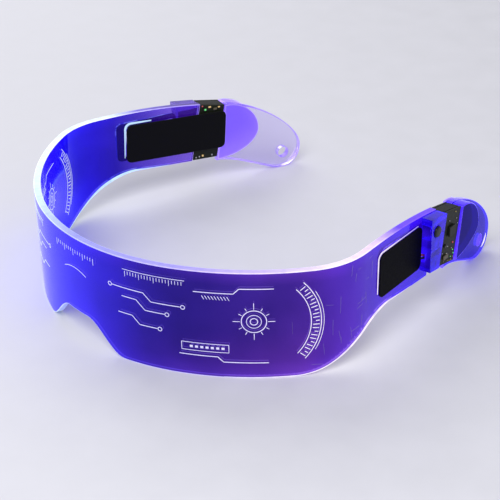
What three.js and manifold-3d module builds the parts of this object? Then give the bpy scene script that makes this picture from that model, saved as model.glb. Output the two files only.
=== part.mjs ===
// Light up party glasses: one clear visor plate bent round the face, lit from its two ends.
// Each temple carries a battery in a window of the plate, a clear block with a push button,
// a stack of two circuit boards with lamps, and a clear D-shaped block that clamps the ear tip.
// Millimetres. +Z is up, +X is the wearer's left, and the wearer looks towards -Y.
//
// Places on the glasses are given by three distances:
//   along  the distance along the plate's outer face, from the middle of the front
//   out    the distance outward from that face, so the plate itself lies at negative out
//   up     the height above the surface that the glasses stand on

import * as THREE from 'three';
import { mergeVertices } from 'three/addons/utils/BufferGeometryUtils.js';
import Module from 'manifold-3d';

const wasm = await Module();
wasm.setup();

// Shared clearances, and how finely round outlines are drawn
const clearance = 0.3;
const fineGap = 0.15;
const cutOverrun = 1;
const roundSteps = 8;
const middleShare = 0.5;

// Visor plate: three tangent arcs on each side, then a straight temple that toes in
const visor = {
  thickness: 2.7,
  height: 42.7,
  frontRadius: 81.4,
  frontLength: 40.5,
  sideRadius: 98.5,
  sideLength: 53.6,
  cornerRadius: 30.2,
  cornerLength: 22.4,
  templeLength: 45.6,
  templeDropLength: 39.3,
  templeDropRadius: 248,
  noseHeight: 11.5,
  noseCrown: 5.5,
  noseHalfWidth: 23.5,
  riseBeforeTemple: 29.5,
  riseLength: 45,
  riseHeight: 14.9,
  templeFallPerLength: 0.071,
  endLeanDegrees: 10.5,
  stationStep: 2.4,
};

// Battery in a window of each temple: a tray with two coin cells, and a cover on the outside.
// It slopes down to the rear by its own angle
const battery = {
  beforeVisorEnd: 21.6,
  slopeDegrees: 0.8,
  windowLength: 23.6,
  windowHeight: 13.4,
  windowCorner: 1.5,
  trayWall: 0.8,
  trayFloor: 0.5,
  cellRadius: 5,
  cellThickness: 1.6,
  cellStep: 0.3,
  linkWidth: 3.4,
  linkThickness: 0.2,
  tabWidth: 0.9,
  tabLength: 1.9,
  tabThickness: 0.3,
  coverBeforeWindow: 4.1,
  coverHeight: 17.6,
  coverRaise: 0.5,
  coverCorner: 2.4,
  coverThickness: 0.6,
};

// Soft pad on the inside of each temple, over the battery and the circuit stack. It ends in a
// notch of the end cover
const pad = {
  beyondEarTipStart: 1.5,
  slopeDegrees: 4,
  length: 48,
  edgeMargin: 5.15,
  corner: 2.4,
  thickness: 1.9,
};

// Circuit stack behind the visor's end: lamp board inside, core, main board outside. The core and
// every piece outside it are lower than the lamp board
const stack = {
  length: 11.8,
  edgeInset: 0.4,
  outerHeight: 22,
  boardThickness: 0.8,
  mainBoardOut: 3.3,
  lampSpacing: 6.6,
  lampDepth: 1.2,
  lampLength: 1.7,
  lampHeight: 3,
  lampWall: 0.5,
};

// Clear block in front of the stack, with a room for the switch and a channel for the leads
const frontBlock = {
  length: 8.6,
  outerFace: 4.8,
  wall: 1,
  roomHalf: 2.9,
  channelHeight: 3.4,
  channelDepth: 2.2,
};

// Push button, its switch and the small board under it
const button = {
  fromBlockFront: 4,
  heightShare: 0.78,
  capRadius: 2.2,
  flangeRadius: 2.6,
  flangeThickness: 0.5,
  proud: 0.7,
  crown: 0.3,
  travel: 0.4,
  boardThickness: 0.6,
  switchSize: 4.2,
  switchThickness: 0.9,
  plungerRadius: 1.1,
};

// Battery leads, from the tray's tabs through the clear block to the main board
const lead = {
  radius: 0.4,
  belowMiddle: 4.3,
  spacing: 1.3,
  cruise: 1.5,
  climb: 3.2,
  hook: 2.1,
  steps: 16,
  sides: 6,
};

// Small parts soldered to the two boards. Each one is its place behind the stack's front edge,
// its place as a share of the board's height, and its two sizes along and up
const boardParts = {
  depth: 0.5,
  driverDepth: 0.8,
  driver: [5.9, 0.62, 4, 4],
  onMain: {
    main_resistor: [2.9, 0.36, 1.6, 0.9],
    main_capacitor: [4.4, 0.15, 3.2, 1.6],
  },
  onLampBoard: {
    lamp_resistor: [2.3, 0.91, 1.6, 0.9],
    lamp_capacitor: [7.4, 0.92, 1.6, 0.9],
  },
};

// D-shaped end block outside the ear tip, and its thinner cover inside
const endBlock = {
  reach: 17.9,
  belowTop: 0.9,
  coverBelowBottom: 0.5,
  noseBelowTop: 13.4,
  curveShare: 0.55,
  coverThickness: 0.7,
};

// Ear tip: a thin plate whose outline runs round a nose and stands on the table at one place.
// It toes in a little more than the temple does, and so do the end block and its cover
const tip = {
  toeInDegrees: 3.5,
  reach: 39.4,
  noseUp: 9.8,
  restReach: 29.2,
  belowBottom: 1.5,
  topReach: 20.5,
  noseTopReach: 8,
  noseLowReach: 6,
  restRearReach: 7.1,
  restFrontReach: 5.7,
  lowReach: 10,
  holeBeforeNose: 8.7,
  holeUp: 7.3,
  holeRadius: 2.4,
};

// Places along the strip that follow from the sizes above
const innerFace = -visor.thickness;
const straightStart = visor.frontLength + visor.sideLength + visor.cornerLength;
const visorEnd = straightStart + visor.templeLength;
const dropStart = visorEnd - visor.templeDropLength;
const riseStart = straightStart - visor.riseBeforeTemple;
const stackStart = visorEnd + clearance;
const stackEnd = stackStart + stack.length;
const tipStart = stackEnd + clearance;
const blockStart = visorEnd - frontBlock.length;
const buttonAlong = blockStart + button.fromBlockFront;
const batteryAlong = visorEnd - battery.beforeVisorEnd;
const padAlong = tipStart + pad.beyondEarTipStart - pad.length / 2;

// Turns a closed geometry into a solid that can be joined and cut
function solidFrom(geometry) {
  const bare = geometry.clone();
  bare.deleteAttribute('normal');
  bare.deleteAttribute('uv');
  const merged = mergeVertices(bare);
  const vertProperties = new Float32Array(merged.attributes.position.array);
  const triVerts = new Uint32Array(merged.index.array);
  return new wasm.Manifold(new wasm.Mesh({ numProp: 3, vertProperties, triVerts }));
}

function geometryFrom(solid) {
  const mesh = solid.getMesh();
  const geometry = new THREE.BufferGeometry();
  geometry.setAttribute('position', new THREE.BufferAttribute(mesh.vertProperties, 3));
  geometry.setIndex(new THREE.BufferAttribute(mesh.triVerts, 1));
  return geometry;
}

function cut(geometry, ...tools) {
  return geometryFrom(tools.reduce((solid, tool) => solid.subtract(solidFrom(tool)), solidFrom(geometry)));
}

function join(geometry, ...others) {
  return geometryFrom(others.reduce((solid, other) => solid.add(solidFrom(other)), solidFrom(geometry)));
}

// The plate's outer face seen from above: its place and heading at a distance along it
function bendAt(along) {
  const arcs = [
    [visor.frontRadius, visor.frontLength],
    [visor.sideRadius, visor.sideLength],
    [visor.cornerRadius, visor.cornerLength],
  ];
  const point = { x: 0, y: 0, heading: 0 };
  let rest = along;
  for (const [radius, length] of arcs) {
    const turned = point.heading + Math.min(rest, length) / radius;
    point.x += radius * (Math.sin(turned) - Math.sin(point.heading));
    point.y += radius * (Math.cos(point.heading) - Math.cos(turned));
    point.heading = turned;
    rest = Math.max(rest - length, 0);
  }
  point.x += rest * Math.cos(point.heading);
  point.y += rest * Math.sin(point.heading);
  return point;
}

// Heights of the strip's two edges
function topAt(along) {
  const beyond = Math.max(along - dropStart, 0);
  return visor.height - beyond ** 2 / (2 * visor.templeDropRadius);
}

function easeBetween(value, start, length) {
  const share = THREE.MathUtils.clamp((value - start) / length, 0, 1);
  return (1 - Math.cos(Math.PI * share)) / 2;
}

function bottomAt(along) {
  const nose = 1 - easeBetween(along, visor.noseCrown, visor.noseHalfWidth - visor.noseCrown);
  const rise = easeBetween(along, riseStart, visor.riseLength);
  const fall = visor.templeFallPerLength * Math.max(along - riseStart - visor.riseLength, 0);
  return visor.noseHeight * nose + visor.riseHeight * rise - fall;
}

// Height at a share of the strip's own height
function upAt(along, share) {
  return THREE.MathUtils.lerp(bottomAt(along), topAt(along), share);
}

// Place along at which a line that leans as the plate's end does reaches a height. The line
// passes the middle of the strip's height at the place given
const leanSlope = Math.tan(THREE.MathUtils.degToRad(visor.endLeanDegrees));

function leaning(along, up) {
  return along + (up - upAt(along, middleShare)) * leanSlope;
}

// Corner where a leaning line through a place meets an edge given by its height along the strip
function leaningCorner(along, edgeAt) {
  const place = leaning(along, edgeAt(along));
  return [place, edgeAt(place)];
}

// Edges of the lamp board, and of the pieces that lie outside it
const boardTopAt = (along) => topAt(along) - stack.edgeInset;
const boardBottomAt = (along) => bottomAt(along) + stack.edgeInset;
const outerBottomAt = (along) => boardTopAt(along) - stack.outerHeight;

// Bent plate as a closed ring of four corners carried from station to station. The stations of
// the temple lean more and more, up to the plate's end
function bentPlate() {
  const steps = Math.ceil(visorEnd / visor.stationStep);
  const positions = [];
  for (let station = -steps; station <= steps; station += 1) {
    const along = (visorEnd * Math.abs(station)) / steps;
    const side = Math.sign(station);
    const leanShare = Math.max(along - straightStart, 0) / visor.templeLength;
    const corners = [
      [0, bottomAt],
      [0, topAt],
      [innerFace, topAt],
      [innerFace, bottomAt],
    ];
    for (const [out, edgeAt] of corners) {
      const place = THREE.MathUtils.lerp(along, leaning(along, edgeAt(along)), leanShare);
      const bend = bendAt(place);
      const x = side * (bend.x + Math.sin(bend.heading) * out);
      positions.push(x, bend.y - Math.cos(bend.heading) * out, edgeAt(place));
    }
  }
  const index = [0, 1, 2, 0, 2, 3];
  const last = steps * 2;
  for (let station = 0; station < last; station += 1) {
    for (let corner = 0; corner < 4; corner += 1) {
      const here = station * 4 + corner;
      const beside = station * 4 + ((corner + 1) % 4);
      index.push(beside, here, here + 4, beside, here + 4, beside + 4);
    }
  }
  const end = last * 4;
  index.push(end + 2, end + 1, end, end + 3, end + 2, end);
  const geometry = new THREE.BufferGeometry();
  geometry.setAttribute('position', new THREE.Float32BufferAttribute(positions, 3));
  geometry.setIndex(index);
  return geometry;
}

// Frame of one temple. In it x runs backwards along the temple, as the along distance does,
// z is up, and y is outward on the wearer's right and inward on the left
function templeFrame(side) {
  const onLeft = side === 'left';
  const mirror = onLeft ? 1 : -1;
  const bend = bendAt(straightStart);
  const frame = new THREE.Group();
  const startX = bend.x - straightStart * Math.cos(bend.heading);
  const startY = bend.y - straightStart * Math.sin(bend.heading);
  frame.position.set(mirror * startX, startY, 0);
  frame.rotation.z = onLeft ? bend.heading : Math.PI - bend.heading;
  return frame;
}

// Frame of a piece that slopes with the temple and lies in the middle of the strip's height
function slopingFrame(along, slopeDegrees) {
  const frame = new THREE.Group();
  frame.position.set(along, 0, upAt(along, middleShare));
  frame.rotation.y = THREE.MathUtils.degToRad(slopeDegrees);
  return frame;
}

// Frame of the pieces behind the stack. It turns inward about the ear tip's front inner edge, and
// the second group inside it lets them be drawn by their places along and out
function toedFrame(outward) {
  const frame = new THREE.Group();
  frame.position.set(tipStart, outward * innerFace, 0);
  frame.rotation.z = -outward * THREE.MathUtils.degToRad(tip.toeInDegrees);
  const drawn = new THREE.Group();
  drawn.position.copy(frame.position).negate();
  frame.add(drawn);
  return { frame, drawn };
}

// A flat piece: an outline drawn along and up, given thickness between two distances out
function slab(outline, [from, to], outward) {
  const settings = { depth: to - from, bevelEnabled: false, curveSegments: roundSteps };
  const geometry = new THREE.ExtrudeGeometry(outline, settings);
  geometry.rotateX(Math.PI / 2);
  return geometry.translate(0, outward > 0 ? to : -from, 0);
}

function brick([alongFrom, alongTo], [upFrom, upTo], [outFrom, outTo], outward) {
  const geometry = new THREE.BoxGeometry(alongTo - alongFrom, outTo - outFrom, upTo - upFrom);
  const middleOut = (outward * (outFrom + outTo)) / 2;
  return geometry.translate((alongFrom + alongTo) / 2, middleOut, (upFrom + upTo) / 2);
}

function disc(radius, [along, up], [from, to], outward, segments) {
  const geometry = new THREE.CylinderGeometry(radius, radius, to - from, segments);
  return geometry.translate(along, (outward * (from + to)) / 2, up);
}

function around(middle, width) {
  return [middle - width / 2, middle + width / 2];
}

function shrunk([low, high], margin) {
  return [low + margin, high - margin];
}

function roundedRectangle([front, rear], [low, high], corner) {
  const shape = new THREE.Shape();
  shape.absarc(rear - corner, low + corner, corner, -Math.PI / 2, 0);
  shape.absarc(rear - corner, high - corner, corner, 0, Math.PI / 2);
  shape.absarc(front + corner, high - corner, corner, Math.PI / 2, Math.PI);
  shape.absarc(front + corner, low + corner, corner, Math.PI, Math.PI * 1.5);
  return shape;
}

// Outline between the boards' top edge and a lower edge, with two leaning ends
function leaningOutline([front, rear], lowEdgeAt) {
  const shape = new THREE.Shape();
  shape.moveTo(...leaningCorner(front, lowEdgeAt));
  shape.lineTo(...leaningCorner(rear, lowEdgeAt));
  shape.lineTo(...leaningCorner(rear, boardTopAt));
  shape.lineTo(...leaningCorner(front, boardTopAt));
  return shape;
}

// The same outline with an upright front end
function blockOutline([front, rear], lowEdgeAt) {
  const shape = new THREE.Shape();
  shape.moveTo(front, lowEdgeAt(front));
  shape.lineTo(...leaningCorner(rear, lowEdgeAt));
  shape.lineTo(...leaningCorner(rear, boardTopAt));
  shape.lineTo(front, boardTopAt(front));
  return shape;
}

const looks = {
  acrylic: { color: 0x5a4cf0, roughness: 0.08, metalness: 0 },
  frosted: { color: 0x7a5cf0, roughness: 0.5, metalness: 0 },
  foam: { color: 0x08080b, roughness: 0.95, metalness: 0 },
  blackPlastic: { color: 0x101014, roughness: 0.4, metalness: 0 },
  board: { color: 0x141c12, roughness: 0.45, metalness: 0 },
  steel: { color: 0xb8bbc0, roughness: 0.3, metalness: 1 },
  tin: { color: 0xc9b88a, roughness: 0.35, metalness: 1 },
  lamp: { color: 0xdfe4ff, roughness: 0.3, metalness: 0 },
  redCover: { color: 0x9c1a18, roughness: 0.5, metalness: 0 },
};

function piece(name, geometry, look) {
  const mesh = new THREE.Mesh(geometry, new THREE.MeshStandardMaterial(looks[look]));
  mesh.name = name;
  return mesh;
}

// Battery places, in the battery's own frame
const windowAlong = around(0, battery.windowLength);
const windowAcross = around(0, battery.windowHeight);
const trayRim = clearance + battery.trayWall;
const cellTop = fineGap - (visor.thickness - battery.trayFloor - battery.cellThickness);
const cellBase = cellTop - battery.cellThickness;
const frontCell = windowAlong[0] + trayRim + fineGap + battery.cellRadius;
const rearCell = frontCell + 2 * battery.cellRadius + clearance;
const tabEnd = windowAlong[1] - trayRim;
const leadUp = upAt(batteryAlong, middleShare) - lead.belowMiddle;
const leadUps = [leadUp + lead.spacing / 2, leadUp - lead.spacing / 2];

// Height in the battery's frame of a place in the temple's frame
function upInTray(up) {
  const slope = THREE.MathUtils.degToRad(battery.slopeDegrees);
  return (up - upAt(batteryAlong, middleShare)) * Math.cos(slope) + windowAlong[1] * Math.sin(slope);
}

function windowTool(outward) {
  const outline = roundedRectangle(windowAlong, windowAcross, battery.windowCorner);
  return slab(outline, [innerFace - cutOverrun, cutOverrun], outward);
}

// Slot through the plate, from the window to where the leads have climbed over the outer face
function leadSlotTool(outward) {
  const front = batteryAlong + windowAlong[1] - battery.trayWall;
  const across = around(leadUp, lead.spacing + 2 * (lead.radius + clearance));
  const rear = batteryAlong + windowAlong[1] + lead.climb;
  return brick([front, rear], across, [innerFace - cutOverrun, cutOverrun], outward);
}

function trayGeometry(outward) {
  const corner = battery.windowCorner;
  const body = roundedRectangle(shrunk(windowAlong, clearance), shrunk(windowAcross, clearance), corner);
  const inside = roundedRectangle(shrunk(windowAlong, trayRim), shrunk(windowAcross, trayRim), corner / 2);
  const floor = innerFace + battery.trayFloor;
  const slotAcross = around(upInTray(leadUp), lead.spacing + 2 * (lead.radius + clearance));
  const slotAlong = [tabEnd - battery.trayWall, windowAlong[1]];
  const slot = brick(slotAlong, slotAcross, [floor, cutOverrun], outward);
  return cut(slab(body, [innerFace, 0], outward), slab(inside, [floor, cutOverrun], outward), slot);
}

function cellGeometry(place, outward) {
  const step = battery.cellStep;
  const centre = [place, 0];
  const can = disc(battery.cellRadius, centre, [cellBase + step, cellTop], outward, 4 * roundSteps);
  const cap = disc(battery.cellRadius - step, centre, [cellBase, cellTop - step], outward, 4 * roundSteps);
  return join(can, cap);
}

function linkGeometry(outward) {
  const low = cellTop + fineGap;
  const along = [frontCell - battery.linkWidth / 2, rearCell + battery.linkWidth / 2];
  return brick(along, around(0, battery.linkWidth), [low, low + battery.linkThickness], outward);
}

function tabGeometry(up, outward) {
  const low = innerFace + battery.trayFloor + fineGap;
  const along = [tabEnd - battery.tabLength, tabEnd - clearance];
  const across = around(upInTray(up), battery.tabWidth);
  return brick(along, across, [low, low + battery.tabThickness], outward);
}

function coverGeometry(outward) {
  const along = [windowAlong[0] - battery.coverBeforeWindow, blockStart - clearance - batteryAlong];
  const across = around(battery.coverRaise, battery.coverHeight);
  const outline = roundedRectangle(along, across, battery.coverCorner);
  return slab(outline, [clearance, clearance + battery.coverThickness], outward);
}

// The pad's shape, grown all round by a margin
function padGeometry(margin, outward) {
  const height = topAt(padAlong) - bottomAt(padAlong) - 2 * pad.edgeMargin;
  const along = around(0, pad.length + 2 * margin);
  const outline = roundedRectangle(along, around(0, height + 2 * margin), pad.corner + margin);
  const outerSide = innerFace - clearance;
  return slab(outline, [outerSide - pad.thickness - margin, outerSide + margin], outward);
}

// One lead: from its tab through the slot, up into the block's channel, and to the main board
function leadGeometry(up, outward) {
  const bed = innerFace + battery.trayFloor + battery.tabThickness + 2 * fineGap + lead.radius;
  const climbStart = batteryAlong + windowAlong[1];
  const boardSide = stack.mainBoardOut - clearance - lead.radius;
  const stackFront = leaning(stackStart, up);
  const route = [
    [climbStart - trayRim - battery.tabLength, bed],
    [climbStart, bed],
    [climbStart + lead.climb, lead.cruise],
    [stackFront - lead.hook, lead.cruise],
    [stackFront + lead.hook, boardSide],
  ];
  const points = route.map(([along, out]) => new THREE.Vector3(along, outward * out, up));
  const section = new THREE.Shape();
  section.absarc(0, 0, lead.radius, 0, Math.PI * 2);
  const extrudePath = new THREE.CatmullRomCurve3(points);
  return new THREE.ExtrudeGeometry(section, { steps: lead.steps, curveSegments: lead.sides, extrudePath });
}

// Clear front block: open from its inner side for the switch room, which also opens to the rear
const buttonUp = upAt(buttonAlong, button.heightShare);
const buttonCentre = [buttonAlong, buttonUp];
const blockAlong = [blockStart, visorEnd];
const roomAcross = around(buttonUp, 2 * frontBlock.roomHalf);
const roomFront = buttonAlong - frontBlock.roomHalf;
const roomCeiling = frontBlock.outerFace - frontBlock.wall;

function frontBlockGeometry(outward) {
  const body = slab(blockOutline(blockAlong, outerBottomAt), [clearance, frontBlock.outerFace], outward);
  const roomAlong = [roomFront, leaning(visorEnd, roomAcross[1]) + cutOverrun];
  const room = brick(roomAlong, roomAcross, [-cutOverrun, roomCeiling], outward);
  const holeOuts = [roomCeiling - cutOverrun, frontBlock.outerFace + cutOverrun];
  const hole = disc(button.capRadius + clearance, buttonCentre, holeOuts, outward, 4 * roundSteps);
  const channelAlong = [blockStart - cutOverrun, visorEnd + cutOverrun];
  const channelAcross = around(leadUp, frontBlock.channelHeight);
  const channel = brick(channelAlong, channelAcross, [-cutOverrun, frontBlock.channelDepth], outward);
  return cut(body, room, hole, channel);
}

function switchBoardGeometry(outward) {
  const along = [roomFront + clearance, leaning(visorEnd, roomAcross[0]) - clearance];
  const outs = [clearance, clearance + button.boardThickness];
  return brick(along, shrunk(roomAcross, clearance), outs, outward);
}

// Switch: a square housing with a round plunger that stops short of the cap's travel
const flangeTop = roomCeiling - clearance;
const flangeBase = flangeTop - button.flangeThickness;

function switchGeometry(outward) {
  const low = clearance + button.boardThickness + fineGap;
  const high = low + button.switchThickness;
  const plungerTop = flangeBase - button.travel - fineGap;
  const along = around(buttonAlong, button.switchSize);
  const housing = brick(along, around(buttonUp, button.switchSize), [low, high], outward);
  const plungerOuts = [high - fineGap, plungerTop];
  const plunger = disc(button.plungerRadius, buttonCentre, plungerOuts, outward, 2 * roundSteps);
  return join(housing, plunger);
}

function capGeometry(outward) {
  const top = frontBlock.outerFace + button.proud;
  const profile = [
    [0, flangeBase],
    [button.flangeRadius, flangeBase],
    [button.flangeRadius, flangeTop],
    [button.capRadius, flangeTop],
    [button.capRadius, top - button.crown],
    [button.capRadius - button.crown, top],
    [0, top],
  ];
  const points = profile.map(([radius, out]) => new THREE.Vector2(radius, out));
  const geometry = new THREE.LatheGeometry(points, 4 * roundSteps);
  geometry.rotateX(outward > 0 ? 0 : Math.PI);
  return geometry.translate(buttonAlong, 0, buttonUp);
}

// Circuit stack
const stackAlong = [stackStart, stackEnd];
const lampBoardFace = innerFace + stack.boardThickness;
const mainBoardFace = stack.mainBoardOut + stack.boardThickness;
const lampOuts = [lampBoardFace + fineGap, lampBoardFace + fineGap + stack.lampDepth];
const lampMiddle = boardTopAt(stackStart + stack.length / 2) - stack.outerHeight / 2;
const lampUps = [-1, 0, 1].map((step) => lampMiddle + step * stack.lampSpacing);

// Front and rear of a lamp that faces the visor plate, and of the one that faces the ear tip
function lensLampAlong(up) {
  const front = leaning(stackStart, up) + stack.lampWall;
  return [front, front + stack.lampLength];
}

function tipLampAlong(up) {
  const rear = leaning(stackEnd, up) - stack.lampWall;
  return [rear - stack.lampLength, rear];
}

function lampGeometry(along, up, outward) {
  return brick(along, around(up, stack.lampHeight), lampOuts, outward);
}

// Black core between the boards, with a pocket for each lamp and one for the leads
function guardGeometry(outward) {
  const outs = [lampBoardFace + clearance, stack.mainBoardOut - clearance];
  const body = slab(leaningOutline(stackAlong, outerBottomAt), outs, outward);
  const pocketOuts = [outs[0] - cutOverrun, lampOuts[1] + clearance];
  const pocket = (along, up) => {
    return brick(along, around(up, stack.lampHeight + 2 * clearance), pocketOuts, outward);
  };
  const lensPockets = lampUps.map((up) => {
    const [front, rear] = lensLampAlong(up);
    return pocket([front - stack.lampWall - cutOverrun, rear + clearance], up);
  });
  const [tipFront, tipRear] = tipLampAlong(lampMiddle);
  const tipPocket = pocket([tipFront - clearance, tipRear + stack.lampWall + cutOverrun], lampMiddle);
  const stackFront = leaning(stackStart, leadUp);
  const leadPocketAlong = [stackFront - cutOverrun, stackFront + lead.hook + 2 * clearance];
  const leadPocketOuts = [lead.cruise - lead.radius - clearance, outs[1] + cutOverrun];
  const leadAcross = around(leadUp, frontBlock.channelHeight);
  const leadPocket = brick(leadPocketAlong, leadAcross, leadPocketOuts, outward);
  return cut(body, ...lensPockets, tipPocket, leadPocket);
}

function boardPart([fromStart, heightShare, length, height], lowEdgeAt, outs, outward) {
  const place = stackStart + fromStart;
  const up = THREE.MathUtils.lerp(lowEdgeAt(place), boardTopAt(place), heightShare);
  const along = leaning(stackStart, up) + fromStart;
  return brick(around(along, length), around(up, height), outs, outward);
}

// D-shaped outline of the end block and its cover, above a low edge
function endOutline(low) {
  const { noseBelowTop, curveShare, reach } = endBlock;
  const high = topAt(tipStart) - endBlock.belowTop;
  const noseUp = high - noseBelowTop;
  const nose = tipStart + reach;
  const frontAt = (up) => leaning(tipStart, up);
  const shoulderAt = (up) => THREE.MathUtils.lerp(frontAt(up), nose, curveShare);
  const bulgeAt = (up) => THREE.MathUtils.lerp(noseUp, up, curveShare);
  const shape = new THREE.Shape();
  shape.moveTo(frontAt(low), low);
  shape.bezierCurveTo(shoulderAt(low), low, nose, bulgeAt(low), nose, noseUp);
  shape.bezierCurveTo(nose, bulgeAt(high), shoulderAt(high), high, frontAt(high), high);
  return shape;
}

// Outline of the ear tip, drawn from its front lower corner round the rest point and the nose
function tipOutline() {
  const [highFront, high] = leaningCorner(tipStart, topAt);
  const low = bottomAt(tipStart) - tip.belowBottom;
  const lowFront = leaning(tipStart, low);
  const fall = (tipStart - dropStart) / visor.templeDropRadius;
  const noseAlong = tipStart + tip.reach;
  const restAlong = tipStart + tip.restReach;
  const shape = new THREE.Shape();
  shape.moveTo(lowFront, low);
  shape.bezierCurveTo(lowFront + tip.lowReach, low, restAlong - tip.restFrontReach, 0, restAlong, 0);
  const underNose = tip.noseUp - tip.noseLowReach;
  shape.bezierCurveTo(restAlong + tip.restRearReach, 0, noseAlong, underNose, noseAlong, tip.noseUp);
  const shoulder = [highFront + tip.topReach, high - fall * tip.topReach];
  shape.bezierCurveTo(noseAlong, tip.noseUp + tip.noseTopReach, ...shoulder, highFront, high);
  const hole = new THREE.Path();
  hole.absarc(noseAlong - tip.holeBeforeNose, tip.holeUp, tip.holeRadius, 0, Math.PI * 2, true);
  shape.holes.push(hole);
  return shape;
}

// One temple: every piece of it, and the tools that cut the visor plate there
function buildTemple(side) {
  const outward = side === 'left' ? -1 : 1;
  const frame = templeFrame(side);
  const batteryFrame = slopingFrame(batteryAlong, battery.slopeDegrees);
  const padFrame = slopingFrame(padAlong, pad.slopeDegrees);
  const toed = toedFrame(outward);
  frame.add(batteryFrame, padFrame, toed.frame);
  frame.updateMatrixWorld(true);
  const add = (group, name, geometry, look) => group.add(piece(`${side}_${name}`, geometry, look));

  add(batteryFrame, 'battery_tray', trayGeometry(outward), 'blackPlastic');
  add(batteryFrame, 'front_cell', cellGeometry(frontCell, outward), 'steel');
  add(batteryFrame, 'rear_cell', cellGeometry(rearCell, outward), 'steel');
  add(batteryFrame, 'cell_link', linkGeometry(outward), 'tin');
  add(batteryFrame, 'positive_tab', tabGeometry(leadUps[0], outward), 'tin');
  add(batteryFrame, 'negative_tab', tabGeometry(leadUps[1], outward), 'tin');
  add(batteryFrame, 'battery_cover', coverGeometry(outward), 'blackPlastic');
  add(padFrame, 'temple_pad', padGeometry(0, outward), 'foam');
  add(frame, 'red_lead', leadGeometry(leadUps[0], outward), 'redCover');
  add(frame, 'black_lead', leadGeometry(leadUps[1], outward), 'blackPlastic');

  add(frame, 'front_block', frontBlockGeometry(outward), 'acrylic');
  add(frame, 'switch_board', switchBoardGeometry(outward), 'board');
  add(frame, 'switch_body', switchGeometry(outward), 'blackPlastic');
  add(frame, 'button_cap', capGeometry(outward), 'blackPlastic');

  const mainOuts = [stack.mainBoardOut, mainBoardFace];
  const partLow = mainBoardFace + fineGap;
  const driverOuts = [partLow, partLow + boardParts.driverDepth];
  const innerParts = [innerFace - fineGap - boardParts.depth, innerFace - fineGap];
  const outerParts = [partLow, partLow + boardParts.depth];
  const lampBoardOutline = leaningOutline(stackAlong, boardBottomAt);
  add(frame, 'main_board', slab(leaningOutline(stackAlong, outerBottomAt), mainOuts, outward), 'board');
  add(frame, 'lamp_board', slab(lampBoardOutline, [innerFace, lampBoardFace], outward), 'board');
  add(frame, 'light_guard', guardGeometry(outward), 'blackPlastic');
  ['lower', 'middle', 'upper'].forEach((height, at) => {
    add(frame, `${height}_lamp`, lampGeometry(lensLampAlong(lampUps[at]), lampUps[at], outward), 'lamp');
  });
  add(frame, 'tip_lamp', lampGeometry(tipLampAlong(lampMiddle), lampMiddle, outward), 'lamp');
  const driver = boardPart(boardParts.driver, outerBottomAt, driverOuts, outward);
  add(frame, 'driver_chip', driver, 'blackPlastic');
  Object.entries(boardParts.onMain).forEach(([name, place]) => {
    add(frame, name, boardPart(place, outerBottomAt, outerParts, outward), 'tin');
  });
  Object.entries(boardParts.onLampBoard).forEach(([name, place]) => {
    add(frame, name, boardPart(place, boardBottomAt, innerParts, outward), 'tin');
  });

  const coverOuter = innerFace - clearance;
  const coverOuts = [coverOuter - endBlock.coverThickness, coverOuter];
  const coverOutline = endOutline(bottomAt(tipStart) - endBlock.coverBelowBottom);
  const blockSlab = slab(endOutline(outerBottomAt(tipStart)), [clearance, frontBlock.outerFace], outward);
  const padInToed = toed.drawn.matrixWorld.clone().invert().multiply(padFrame.matrixWorld);
  const notchTool = padGeometry(clearance, outward).applyMatrix4(padInToed);
  add(toed.drawn, 'end_block', blockSlab, 'acrylic');
  add(toed.drawn, 'end_cover', cut(slab(coverOutline, coverOuts, outward), notchTool), 'frosted');
  add(toed.drawn, 'ear_tip', slab(tipOutline(), [innerFace, 0], outward), 'acrylic');

  const tools = [
    windowTool(outward).applyMatrix4(batteryFrame.matrixWorld),
    leadSlotTool(outward).applyMatrix4(frame.matrixWorld),
  ];
  return { frame, tools };
}

const glasses = new THREE.Group();
glasses.name = 'light_up_party_glasses';
const temples = ['left', 'right'].map(buildTemple);
const visorTools = temples.flatMap(({ tools }) => tools);
glasses.add(piece('visor_plate', cut(bentPlate(), ...visorTools), 'acrylic'));
temples.forEach(({ frame }) => glasses.add(frame));

// The origin is at the middle of the whole part's base
glasses.updateMatrixWorld(true);
const bounds = new THREE.Box3().setFromObject(glasses, true);
const middle = bounds.getCenter(new THREE.Vector3());
glasses.position.set(-middle.x, -middle.y, -bounds.min.z);
glasses.updateMatrixWorld(true);

export default glasses;
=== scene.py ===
import math
import random

import bmesh
import bpy
from mathutils import Matrix, Vector
from mathutils.geometry import tessellate_polygon


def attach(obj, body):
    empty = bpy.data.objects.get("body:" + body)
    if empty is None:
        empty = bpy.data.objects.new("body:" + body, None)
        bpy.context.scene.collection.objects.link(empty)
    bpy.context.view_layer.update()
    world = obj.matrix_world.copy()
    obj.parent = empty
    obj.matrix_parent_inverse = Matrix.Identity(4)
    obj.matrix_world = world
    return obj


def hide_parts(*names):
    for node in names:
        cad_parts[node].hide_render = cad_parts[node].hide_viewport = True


# Looks of the light up party glasses. Lengths are in millimetres in the strip's own directions,
# along, out and up, until strip_place or toed_place turns them into the part's frame in metres.
MM = 0.001
SIDES = {"left": 1, "right": -1}

# The plate's bend, with the same sizes as the solids
ARCS = ((81.4, 40.5), (98.5, 53.6), (30.2, 22.4))
FRONT_TO_ORIGIN = 81.5563
THICKNESS = 2.7
HEIGHT = 42.7
STRAIGHT_START = sum(length for _, length in ARCS)
TEMPLE_LENGTH = 45.6
VISOR_END = STRAIGHT_START + TEMPLE_LENGTH
DROP_START = VISOR_END - 39.3
DROP_RADIUS = 248.0
NOSE_HEIGHT, NOSE_CROWN, NOSE_HALF_WIDTH = 11.5, 5.5, 23.5
RISE_START, RISE_LENGTH, RISE_HEIGHT = STRAIGHT_START - 29.5, 45.0, 14.9
TEMPLE_FALL = 0.071
LEAN = math.tan(math.radians(10.5))
CLEARANCE = 0.3

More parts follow.
